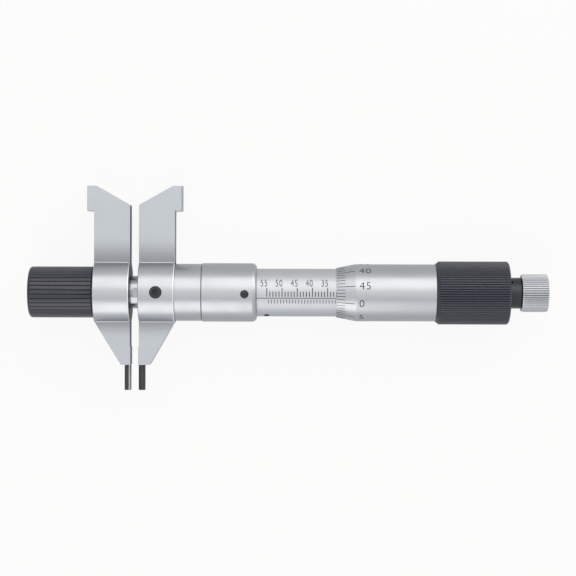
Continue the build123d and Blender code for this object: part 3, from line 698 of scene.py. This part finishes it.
class MICROMETER_OT_jaws(Operator):
    """Build the two jaws, each a hooked blade with a ring"""
    bl_idname = "micrometer.jaws"
    bl_label = "Jaws"

    def execute(self, context):
        jaw = sizes_of("jaws")
        bores = {"fixed_jaw": TUBE.jaw_seat + PRESS, "movable_jaw": reach("guide_rod") + PRESS}
        for name, face_x, side, body in jaw_places(jaw):
            start = min(face_x, face_x + side * jaw.width)
            end = start + jaw.width
            bore = bores[name]
            cuts = [turned(stepped(start - 1, (bore, end + 1), (0, start - 1)))]
            if name == "fixed_jaw":
                cuts.append(peg((start + end) / 2, 0, 0, 2 * jaw.ring, GUIDE_SCREW.radius + PRESS))
            parts = self.blade(jaw, face_x, side), self.ring(jaw, start, end), self.webs(jaw, start, end)
            shape = combined("DIFFERENCE", combined("UNION", *parts), *cuts)
            shape.normal_update()
            for face in shape.faces:
                face.material_index = self.look(jaw, face, face_x, side)
            placed(name + "_shell", shape, body, "satin_chrome", name,
                   looks=("satin_chrome", "ground_chrome", "worn_chrome", "faced_chrome"))
        return {"FINISHED"}

    def look(self, jaw, face, face_x, side):
        """The finish of a face: 0 satin, 1 a ground flat with painted shade beside the ring, 2 a painted highlight
        on a ring's right edge, 3 a side face with painted shade.
        """
        middle = face.calc_center_median()
        off = hypot(middle.y, middle.z)
        if abs(face.normal.z) > SQUARE and abs(middle.z) < jaw.thickness / 2 + MERGE:
            return 1
        # A ring's right-facing edge rounds get the painted highlight
        if TILTED < face.normal.x < SQUARE and jaw.ring - jaw.ring_round < off < jaw.ring + MERGE:
            return 2
        # Side faces square to the centre line get the painted shade
        if abs(face.normal.x) > NEARLY_SQUARE and side * (middle.x - face_x) < jaw.width + MERGE:
            return 3
        return 0

    def blade(self, jaw, face_x, side, pad_round=0.05, crown_steps=7):
        """A flat blade with its hook, its crowned measuring face and its foot."""
        hook = jaw.width + jaw.outstand
        low = jaw.top - jaw.hook_height
        outline = [
            (0, jaw.shoulder, jaw.corner),
            (hook - jaw.flat, jaw.top, jaw.corner),
            (hook, jaw.top, jaw.corner),
            (hook, low, jaw.corner),
            (jaw.width, low, jaw.corner),
            (jaw.width, -jaw.slant, jaw.corner),
            (jaw.fixed_tip if side > 0 else jaw.movable_tip, -jaw.foot, jaw.corner),
            (-jaw.pad_proud, -jaw.foot, pad_round),
            (-jaw.pad_proud, jaw.pad_height - jaw.foot, pad_round),
            (0, jaw.pad_height - jaw.foot, 0),
        ]
        points = rounded([(face_x + side * x, y, corner) for x, y, corner in outline])
        half = jaw.thickness / 2
        bm = thickened(plate(points), -half, half)
        rims = [edge for edge in bm.edges if abs(edge.verts[0].co.z - edge.verts[1].co.z) < MERGE]
        bmesh.ops.bevel(
            bm, geom=rims, affect="EDGES", offset=jaw.rim, offset_type="OFFSET", segments=2, profile=0.5,
            material=-1, clamp_overlap=True,
        )
        sliced(bm, (0, 0, 1), [number * half / crown_steps for number in range(1 - crown_steps, crown_steps)])
        for vert in bm.verts:
            out = side * (vert.co.x - face_x)
            if out > hook - jaw.rim - jaw.corner and vert.co.y > low - MERGE:
                vert.co.x -= side * (jaw.crown - sqrt(jaw.crown**2 - vert.co.z**2))
        return bm

    def ring(self, jaw, start, end):
        """The solid ring, before its bore is cut."""
        return turned(stepped(start, (jaw.ring, end, jaw.ring_round, jaw.ring_round), (0, start)))

    def webs(self, jaw, start, end, buried=0.3, steps=5):
        """The four rounded junctions of a ring with its blade."""
        half = jaw.thickness / 2
        rise = half + jaw.web
        far = sqrt((jaw.ring + jaw.web) ** 2 - rise**2)
        last = pi - atan2(rise, far)
        points = [(far, half - buried)]
        for step in range(steps + 1):
            angle = -pi / 2 - (last - pi / 2) * step / steps
            points.append((far + jaw.web * cos(angle), rise + jaw.web * sin(angle)))
        points += [(far - 1.5 * jaw.web, half + 0.5 * jaw.web), (far - 2 * jaw.web, half - buried)]
        bm = thickened(plate(points), start + jaw.ring_round, end - jaw.ring_round)
        bmesh.ops.rotate(bm, verts=bm.verts, cent=(0, 0, 0), matrix=Matrix(((0, 0, 1), (1, 0, 0), (0, 1, 0))))
        for mirror in ((1, -1, 1), (1, 1, -1)):
            copy = bmesh.ops.duplicate(bm, geom=everything(bm))["geom"]
            bmesh.ops.scale(bm, verts=only(bmesh.types.BMVert, copy), vec=mirror)
        return outwards(bm)


class MICROMETER_OT_pins(Operator):
    """Build the two measuring pins below the jaws' feet"""
    bl_idname = "micrometer.pins"
    bl_label = "Measuring pins"

    def execute(self, context):
        jaw = sizes_of("jaws")
        shown, end = jaw.pin_length - PIN.gap, jaw.pin_length + PIN.shank_length
        for name, face_x, side, body in jaw_places(jaw):
            runs = (jaw.pin, shown, FINE, PIN.root), (PIN.shank, end, 0, FINE), (0, 0)
            bm = turned(stepped(0, *runs), SMALL_AROUND)
            low = Vector((face_x + side * jaw.pin_inset, -jaw.foot - jaw.pin_length, 0))
            bm.transform(Matrix.Translation(low) @ Matrix.Rotation(pi / 2, 4, "Z"))
            # A strip on the movable pin's right side is painted in satin chrome as a highlight
            if side < 0:
                bm.normal_update()
                for face in bm.faces:
                    face.material_index = int(PIN_HIGHLIGHT[0] < face.normal.x < PIN_HIGHLIGHT[1])
            placed(name + "_pin_ground", bm, body, "dark_carbide", name + "_pin",
                   looks=("dark_carbide", "satin_chrome"))
        return {"FINISHED"}


class MICROMETER_OT_guide_rod(Operator):
    """Build the guide rod with its keyway and bores"""
    bl_idname = "micrometer.guide_rod"
    bl_label = "Guide rod"

    def execute(self, context):
        sizes = sizes_of("turned")
        start, end = span("guide_rod")
        rod = reach("guide_rod")
        screw = reach("clamp_screw") + SCREW_FIT
        ball_start, ball_end = span("thrust_ball")
        ball = (ball_end - ball_start) / 2
        chamber = ball_start + ROD.pocket
        nut = reach("coupling_nut") + PRESS
        plug = span("lock_plug")[1]
        shape = turned(stepped(
            start, (rod, end, FINE, ROD.right), (nut, chamber), (ball, ball_start), (0, plug), (screw, start),
        ))
        slot = bmesh.new()
        bmesh.ops.create_circle(slot, cap_ends=True, segments=ROD.key_sides, radius=sizes.keyway / 2)
        right = ball_start - ROD.key_gap
        left = right - ROD.key_length
        for vert in slot.verts:
            vert.co.x += right - sizes.keyway / 2 if vert.co.x > 0 else left + sizes.keyway / 2
        slot = thickened(slot, rod - sizes.keyway_depth, rod + 1)
        shape = combined("DIFFERENCE", shape, slot)
        placed("guide_rod_ground", shape, "slide", "polished_steel", "guide_rod")
        return {"FINISHED"}


class MICROMETER_OT_tube_and_collar(Operator):
    """Build the body tube and the collar"""
    bl_idname = "micrometer.tube_and_collar"
    bl_label = "Tube and collar"

    def execute(self, context):
        sizes, jaw = sizes_of("turned"), sizes_of("jaws")
        start, end = span("collar")
        tube_end = span("body_tube")[1]
        sleeve_start = span("sleeve")[0]
        shoulder, nut_start = start - TUBE.collar_gap, tube_end - TUBE.nut_seat_length
        shape = turned(stepped(
            0, (TUBE.jaw_seat, jaw.width, FINE, 0), (TUBE.radius, shoulder, sizes.edge, sizes.edge),
            (TUBE.collar_seat, sleeve_start), (TUBE.sleeve_seat, tube_end), (TUBE.nut_seat, nut_start),
            (TUBE.spindle_bore, TUBE.rod_bore_end), (TUBE.rod_bore, 0, 0, FINE),
        ))
        shape = drilled(shape, jaw.width / 2, 0, 0, OUTSIDE, GUIDE_SCREW.radius + PRESS)
        placed("body_tube_turned", shape, "frame", "satin_chrome", "body_tube")
        shape = turned(stepped(
            start, (COLLAR.radius, end, COLLAR.rim, sizes.collar_round),
            (reach("sleeve") + PRESS, sleeve_start), (TUBE.collar_seat + PRESS, start),
        ))
        screw_x = span("collar_screw")[0] + COLLAR_SCREW.radius
        shape = drilled(shape, screw_x, sizes.screw_turn, 0, OUTSIDE, COLLAR_SCREW.radius + PRESS)
        placed("collar_turned", shape, "frame", "satin_chrome", "collar")
        return {"FINISHED"}


class MICROMETER_OT_screws(Operator):
    """Build the guide screw and the collar screw"""
    bl_idname = "micrometer.screws"
    bl_label = "Screws"

    def execute(self, context):
        start, end = span("guide_screw")
        size = GUIDE_SCREW
        shape = stood_up(stepped(
            size.tip_z, (size.tip, size.step_z, size.tip_round, 0),
            (size.radius, size.top_z, 0, size.top_round), (0, size.tip_z),
        ), start, end)
        middle = (start + end) / 2
        shape = drilled(shape, middle, 0, size.socket_z, size.socket_top, size.socket, size.socket_sides)
        placed("guide_screw_turned", shape, "frame", "blackened_steel", "guide_screw")
        start, end = span("collar_screw")
        size = COLLAR_SCREW
        runs = (size.radius, size.top_z, 0, size.top_round), (0, size.low_z)
        shape = stood_up(stepped(size.low_z, *runs), start, end)
        slot = block((start - 1, -size.slot, size.slot_z), (end + 1, size.slot, size.slot_top))
        shape = combined("DIFFERENCE", shape, slot)
        shape.transform(Matrix.Rotation(-sizes_of("turned").screw_turn, 4, "X"))
        placed("collar_screw_turned", shape, "frame", "blackened_steel", "collar_screw")
        return {"FINISHED"}


class MICROMETER_OT_sleeve(Operator):
    """Build the sleeve with its spanner hole"""
    bl_idname = "micrometer.sleeve"
    bl_label = "Sleeve"

    def execute(self, context):
        sizes = sizes_of("turned")
        start, end = span("sleeve")
        outer, bore = reach("sleeve"), TUBE.sleeve_seat + PRESS
        shape = turned(stepped(start, (outer, end, 0, sizes.edge), (bore, start, sizes.edge, 0)))
        x, floor = span("collar")[1] + sizes.spanner_inset, outer - SLEEVE.hole_depth
        shape = drilled(shape, x, sizes.spanner_turn, floor, OUTSIDE, sizes.spanner_hole, HOLE_SIDES)
        # The spanner hole's walls take the dark paint: painted shade in the hole
        for face in shape.faces:
            middle = face.calc_center_median()
            between = bore + SLEEVE.bore_skin < hypot(middle.y, middle.z) < outer - SLEEVE.skin
            face.material_index = int(between and abs(middle.x - x) < sizes.spanner_hole)
        placed("sleeve_turned", shape, "frame", "satin_chrome", "sleeve",
               looks=("matt_chrome", "engraving_paint"))
        return {"FINISHED"}


class MICROMETER_OT_sleeve_scale(Operator):
    """Draw the sleeve's lines and figures"""
    bl_idname = "micrometer.sleeve_scale"
    bl_label = "Sleeve scale"

    def execute(self, context):
        sizes = sizes_of("scale")
        outer = reach("sleeve")
        collar_end = span("collar")[1]
        half, main, index = sizes.line / 2, sizes.main_line / 2, sizes.index_turn
        middle = (sizes.figure_low + sizes.figure_high) / 2 * outer
        tall = (sizes.figure_high - sizes.figure_low) * outer
        bm = bmesh.new()
        index_turns = (index - half / outer, index + half / outer)
        strip(bm, collar_end, span("sleeve")[1] - INDEX_STOP, index_turns, outer, sizes)
        for reading in range(sizes.low, sizes.high + 1):
            x = collar_end + sizes.margin + sizes.high - reading
            line_end = sizes.short_end if reading % 5 else sizes.long_end
            strip(bm, x - main, x + main, (sizes.line_start, line_end), outer, sizes)
            if reading > sizes.low:
                between = x + HALF_LINE
                strip(bm, between - half, between + half, (sizes.half_start, sizes.half_end), outer, sizes)
            if reading % 5 == 0:
                figure(bm, str(reading), x + FIGURE_SHIFT, middle, sizes.figure_pair, tall, sizes,
                       1.0, SLEEVE_WEIGHT)
        bm = wrapped(bm, lambda x: outer, outer)
        placed("sleeve_scale", bm, "frame", "blackened_steel", looks=("engraving_paint",))
        return {"FINISHED"}


class MICROMETER_OT_thimble(Operator):
    """Build the bevelled thimble"""
    bl_idname = "micrometer.thimble"
    bl_label = "Thimble"

    def execute(self, context):
        sizes = sizes_of("turned")
        start, end = span("thimble")
        grip = span("thimble_grip")[0] + sizes_of("ribs").grip_inset
        web_end = span("ratchet_body")[0]
        web_start = web_end - THIMBLE.web
        bm = turned([
            (start, THIMBLE.bore, 0), (start, THIMBLE.bore + sizes.thimble_edge, THIMBLE.edge_round),
            (start + sizes.bevel, THIMBLE.radius, FINE), (grip, THIMBLE.radius, 0),
            *stepped(grip, (THIMBLE.grip_seat, end), (THIMBLE.cavity, web_end)),
            (web_end, THIMBLE.taper_small, 0), (web_start, THIMBLE.taper_large, 0),
            (web_start, THIMBLE.bore, 0),
        ])
        placed("thimble_turned", bm, "thimble", "satin_chrome", "thimble")
        return {"FINISHED"}


class MICROMETER_OT_thimble_scale(Operator):
    """Draw the thimble's division lines and figures"""
    bl_idname = "micrometer.thimble_scale"
    bl_label = "Thimble scale"

    def execute(self, context):
        sizes, edges = sizes_of("scale"), sizes_of("turned")
        start = span("thimble")[0]
        inner, outer = THIMBLE.bore + edges.thimble_edge, THIMBLE.radius
        half = sizes.line / 2 / outer
        bm = bmesh.new()
        for number in range(sizes.divisions):
            angle = sizes.index_turn - (number - sizes.reading) * 2 * pi / sizes.divisions
            angle = (angle + pi) % (2 * pi) - pi
            end = sizes.short_mark if number % 5 else sizes.long_mark
            strip(bm, start + DIVISION_STOP, start + end, (angle - half, angle + half), outer, sizes)
            if number % 5 == 0:
                figure(bm, str(number), start + sizes.thimble_inset, angle * outer + sizes.thimble_lift,
                       sizes.thimble_pair, sizes.thimble_figure, sizes, weight=THIMBLE_WEIGHT)
        bm = wrapped(bm, lambda x: inner + (outer - inner) * min(1.0, (x - start) / edges.bevel), outer)
        placed("thimble_scale", bm, "thimble", "blackened_steel", looks=("engraving_paint",))
        return {"FINISHED"}


class MICROMETER_OT_clamp_knob(Operator):
    """Build the ribbed clamp knob"""
    bl_idname = "micrometer.clamp_knob"
    bl_label = "Clamp knob"

    def execute(self, context):
        ribs = sizes_of("ribs")
        start, end = span("clamp_knob")
        bore, bore_start = reach("clamp_screw") + PRESS, span("clamp_screw")[0]
        outline = rounded([
            (start, KNOB.core, 0), (start, KNOB.radius, KNOB.left), (end, KNOB.radius, KNOB.right),
            (end, bore, 0), (bore_start, bore, 0), (bore_start, KNOB.core, 0),
        ])
        bm = ribbed(outline, ribs.knob_count, ribs.knob_depth, ribs.knob_land)
        placed("clamp_knob_ribbed", bm, "clamp", "black_knob", "clamp_knob")
        return {"FINISHED"}


class MICROMETER_OT_grip(Operator):
    """Build the thimble's finely ribbed grip"""
    bl_idname = "micrometer.grip"
    bl_label = "Grip"

    def execute(self, context):
        ribs = sizes_of("ribs")
        start, end = span("thimble_grip")
        start += ribs.grip_inset
        wall = span("thimble")[1]
        seat, hole = THIMBLE.grip_seat + PRESS, NECK.radius + PRESS
        outline = rounded([
            (start, seat, 0), (start, THIMBLE.radius, 0), (start + ribs.grip_chamfer, GRIP_RADIUS, 0),
            (end - ribs.grip_rear, GRIP_RADIUS, 0), (end, GRIP_RADIUS - ribs.grip_rear, 0),
            (end, hole, FINE), (wall, hole, 0), (wall, seat, 0),
        ])
        bm = ribbed(outline, ribs.grip_count, ribs.grip_depth, ribs.grip_land)
        placed("thimble_grip_ribbed", bm, "thimble", "black_knob", "thimble_grip")
        return {"FINISHED"}


class MICROMETER_OT_ratchet(Operator):
    """Build the ratchet stop's neck, knob and screw"""
    bl_idname = "micrometer.ratchet"
    bl_label = "Ratchet stop"

    def execute(self, context):
        self.neck(sizes_of("turned"), sizes_of("ribs"))
        self.knob(sizes_of("ribs"))
        self.screw()
        return {"FINISHED"}

    def neck(self, sizes, ribs):
        """The black neck with its flange, its journal and its small hole."""
        start, end = span("ratchet_body")
        neck_end = span("ratchet_knob")[0] + ribs.ratchet_inset - NECK.end_gap
        plate_end = span("ratchet_plate")[1]
        flange_end, stud_end = start + NECK.flange_length, start + NECK.stud_depth
        screw_start = end - NECK.screw_depth
        shape = turned(stepped(
            start, (NECK.flange, flange_end), (NECK.radius, neck_end, 0, NECK.end_round),
            (NECK.hub, plate_end), (NECK.journal, end), (NECK.screw_bore, screw_start), (0, stud_end),
            (NECK.stud_bore, start),
        ))
        x = span("thimble_grip")[1] + sizes.neck_inset
        low, high = NECK.hole_floor, NECK.hole_top
        shape = drilled(shape, x, sizes.neck_turn, low, high, sizes.neck_hole, HOLE_SIDES)
        placed("ratchet_neck", shape, "thimble", "blackened_steel", "ratchet_body")

    def knob(self, ribs):
        """The silver ribbed knob with its cavity and its recess."""
        start, end = span("ratchet_knob")
        web_start, web_end = start + RATCHET.cavity_depth, start + RATCHET.web_end
        start += ribs.ratchet_inset
        lip = start + ribs.ratchet_face
        outline = rounded([
            (start, RATCHET.cavity, 0), (start, RATCHET.lip, 0), (lip, RATCHET.shoulder, 0),
            (lip + ribs.ratchet_taper, RATCHET.radius, 0), (end, RATCHET.radius, RATCHET.right),
            (end, RATCHET.recess, FINE), (web_end, RATCHET.recess, 0),
            (web_end, RATCHET.bore, 0), (web_start, RATCHET.bore, 0), (web_start, RATCHET.cavity, 0),
        ])
        bm = ribbed(outline, ribs.ratchet_count, ribs.ratchet_depth, ribs.ratchet_land)
        placed("ratchet_knob_ribbed", bm, "ratchet", "ribbed_chrome", "ratchet_knob")

    def screw(self):
        """The slotted screw in the knob's recess."""
        start, end = span("ratchet_screw")
        size = END_SCREW
        head = end - size.head_length
        runs = (size.radius, head), (size.head, end, 0, size.head_round), (0, start)
        slot = block((end - size.slot_depth, -size.slot_end, -size.slot), (end + 1, size.slot_end, size.slot))
        shape = combined("DIFFERENCE", turned(stepped(start, *runs), SMALL_AROUND), slot)
        placed("ratchet_screw_turned", shape, "thimble", "bright_steel", "ratchet_screw")


class MICROMETER_OT_inner_works(Operator):
    """Give the pieces inside the instrument their finishes"""
    bl_idname = "micrometer.inner_works"
    bl_label = "Inner works"

    def execute(self, context):
        slots = {part["node"]: part["material_slot"] for part in frame["record"]["subparts"]}
        for name, item in frame["nodes"].items():
            item.data.materials.clear()
            item.data.materials.append(finish(slots[name]))
        return {"FINISHED"}


class MICROMETER_OT_studio(Operator):
    """Set up the floor, the lamps, the world and the camera"""
    bl_idname = "micrometer.studio"
    bl_label = "Studio"

    def execute(self, context):
        stage, scene = context.scene.micrometer_stage, context.scene
        scene.view_settings.view_transform = "Standard"
        bm = bmesh.new()
        bmesh.ops.create_grid(bm, x_segments=1, y_segments=1, size=FLOOR_HALF)
        mesh = meshed("floor", bm)
        mesh.materials.append(self.floor_paint(stage))
        floor = linked("floor", mesh)

        self.lamp("upper_lamp", stage, UPPER_LAMP, stage.upper, stage.upper_turn)
        self.lamp("lower_lamp", stage, LOWER_LAMP, stage.lower, stage.lower_turn)
        self.lamp("overhead", stage, OVERHEAD, stage.overhead, 0.0)
        self.lamp("side_lamp", stage, SIDE_LAMP, stage.side, stage.side_turn, stage.side_swing)

        scene.world = bpy.data.worlds.new("Studio")
        scene.world.use_nodes = True
        tree = scene.world.node_tree
        level = {"Value": self.seen(tree), "To Min": stage.world, "To Max": 1.0}
        strength = node(tree, "MapRange", level, "Result")
        feed(tree, tree.nodes["Background"], {"Color": (1, 1, 1, 1), "Strength": strength})

        camera = bpy.data.cameras.new("camera")
        camera.lens = stage.lens
        camera.sensor_width = 36.0
        camera.clip_end = 20.0
        scene.camera = linked("camera", camera)
        place = PLACE @ Vector((stage.aim / MM, stage.rise / MM, stage.distance / MM))
        scene.camera.matrix_world = Matrix.Translation(place) @ TURN @ Matrix.Rotation(stage.roll, 4, "Z")
        return {"FINISHED"}

    def lamp(self, name, stage, sizes, level, angle, swing=0.0):
        """A wide lamp that faces the instrument, turned round its centre line and swung to the ratchet."""
        distance, wide, tall, slide = sizes
        light = bpy.data.lights.new(name, "AREA")
        light.shape = "RECTANGLE"
        light.size = wide
        light.size_y = tall
        light.energy = level * pi * wide * tall
        light.color = stage.lamp_colour
        middle = PLACE @ Vector((stage.aim / MM, 0, 0))
        aim = TURN @ Matrix.Rotation(-angle, 4, "X") @ Matrix.Rotation(swing, 4, "Y")
        place = Matrix.Translation(middle) @ aim @ Matrix.Translation((slide, 0, distance))
        linked(name, light).matrix_world = place

    def seen(self, tree):
        """1 where the camera sees straight, by reflection or through something clear, and 0 elsewhere."""
        kinds = "Camera", "Glossy", "Transmission"
        rays = [node(tree, "LightPath", {}, f"Is {kind} Ray") for kind in kinds]
        return maths(tree, "MAXIMUM", maths(tree, "MAXIMUM", rays[0], rays[1]), rays[2])

    def floor_paint(self, stage):
        """Pale paint that the camera and reflections see nearly white, with the instrument's shadow on it."""
        made, tree = material("floor_paint")
        where = node(tree, "TexCoord", {}, "Object")
        noise = node(tree, "TexNoise", {"Vector": where, "Scale": 60.0}, "Fac")
        shade = {"A": tinted(stage.floor, 0.99), "B": tinted(stage.floor, 1), "Factor": noise}
        paint = tree.nodes["Principled BSDF"]
        feed(tree, paint, {
            "Base Color": node(tree, "Mix", shade, "Result", data_type="RGBA"),
            "Roughness": 0.9,
            "Specular IOR Level": 0.1,
        })
        straight = node(tree, "LightPath", {}, "Is Camera Ray")
        level = {"Value": straight, "To Min": stage.floor_mirrored, "To Max": stage.floor_white}
        part = maths(tree, "MULTIPLY", self.seen(tree), node(tree, "MapRange", level, "Result"))
        white = node(tree, "Emission", {"Strength": 1.0}, "Emission")
        both = node(tree, "MixShader", {0: part, 1: paint.outputs["BSDF"], 2: white}, "Shader")
        feed(tree, tree.nodes["Material Output"], {"Surface": both})
        return made


class MICROMETER_PT_panel(Panel):
    """The instrument's sizes, finishes and build buttons"""
    bl_idname = "MICROMETER_PT_panel"
    bl_label = "Inside micrometer"
    bl_space_type = "VIEW_3D"
    bl_region_type = "UI"
    bl_category = "Micrometer"

    def draw(self, context):
        for name, _, label in GROUPS:
            box = self.layout.box()
            box.label(text=label)
            group = getattr(context.scene, name)
            for prop in own_properties(group):
                box.prop(group, prop.identifier)
        for operator in OPERATORS:
            self.layout.operator(operator.bl_idname)


GROUPS = (
    ("micrometer_jaws", JawSizes, "Jaws"),
    ("micrometer_turned", TurnedSizes, "Turned pieces"),
    ("micrometer_ribs", RibSizes, "Ribs"),
    ("micrometer_scale", ScaleSizes, "Graduations"),
    ("micrometer_finishes", FinishSettings, "Finishes"),
    ("micrometer_stage", StageSettings, "Stage"),
)
OPERATORS = (
    MICROMETER_OT_studio,
    MICROMETER_OT_inner_works,
    MICROMETER_OT_jaws,
    MICROMETER_OT_pins,
    MICROMETER_OT_guide_rod,
    MICROMETER_OT_tube_and_collar,
    MICROMETER_OT_screws,
    MICROMETER_OT_sleeve,
    MICROMETER_OT_sleeve_scale,
    MICROMETER_OT_thimble,
    MICROMETER_OT_thimble_scale,
    MICROMETER_OT_clamp_knob,
    MICROMETER_OT_grip,
    MICROMETER_OT_ratchet,
)


def register():
    """Register the properties, the operators and the panel."""
    for name, group, _ in GROUPS:
        bpy.utils.register_class(group)
        setattr(bpy.types.Scene, name, PointerProperty(type=group))
    for operator in OPERATORS:
        bpy.utils.register_class(operator)
    bpy.utils.register_class(MICROMETER_PT_panel)


def unregister():
    """Remove what register added."""
    bpy.utils.unregister_class(MICROMETER_PT_panel)
    for operator in reversed(OPERATORS):
        bpy.utils.unregister_class(operator)
    for name, group, _ in reversed(GROUPS):
        delattr(bpy.types.Scene, name)
        bpy.utils.unregister_class(group)


def main():
    """Build the instrument and its studio."""
    register()
    for operator in OPERATORS:
        family, name = operator.bl_idname.split(".")
        getattr(getattr(bpy.ops, family), name)()
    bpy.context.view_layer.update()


if __name__ == "__main__":
    main()
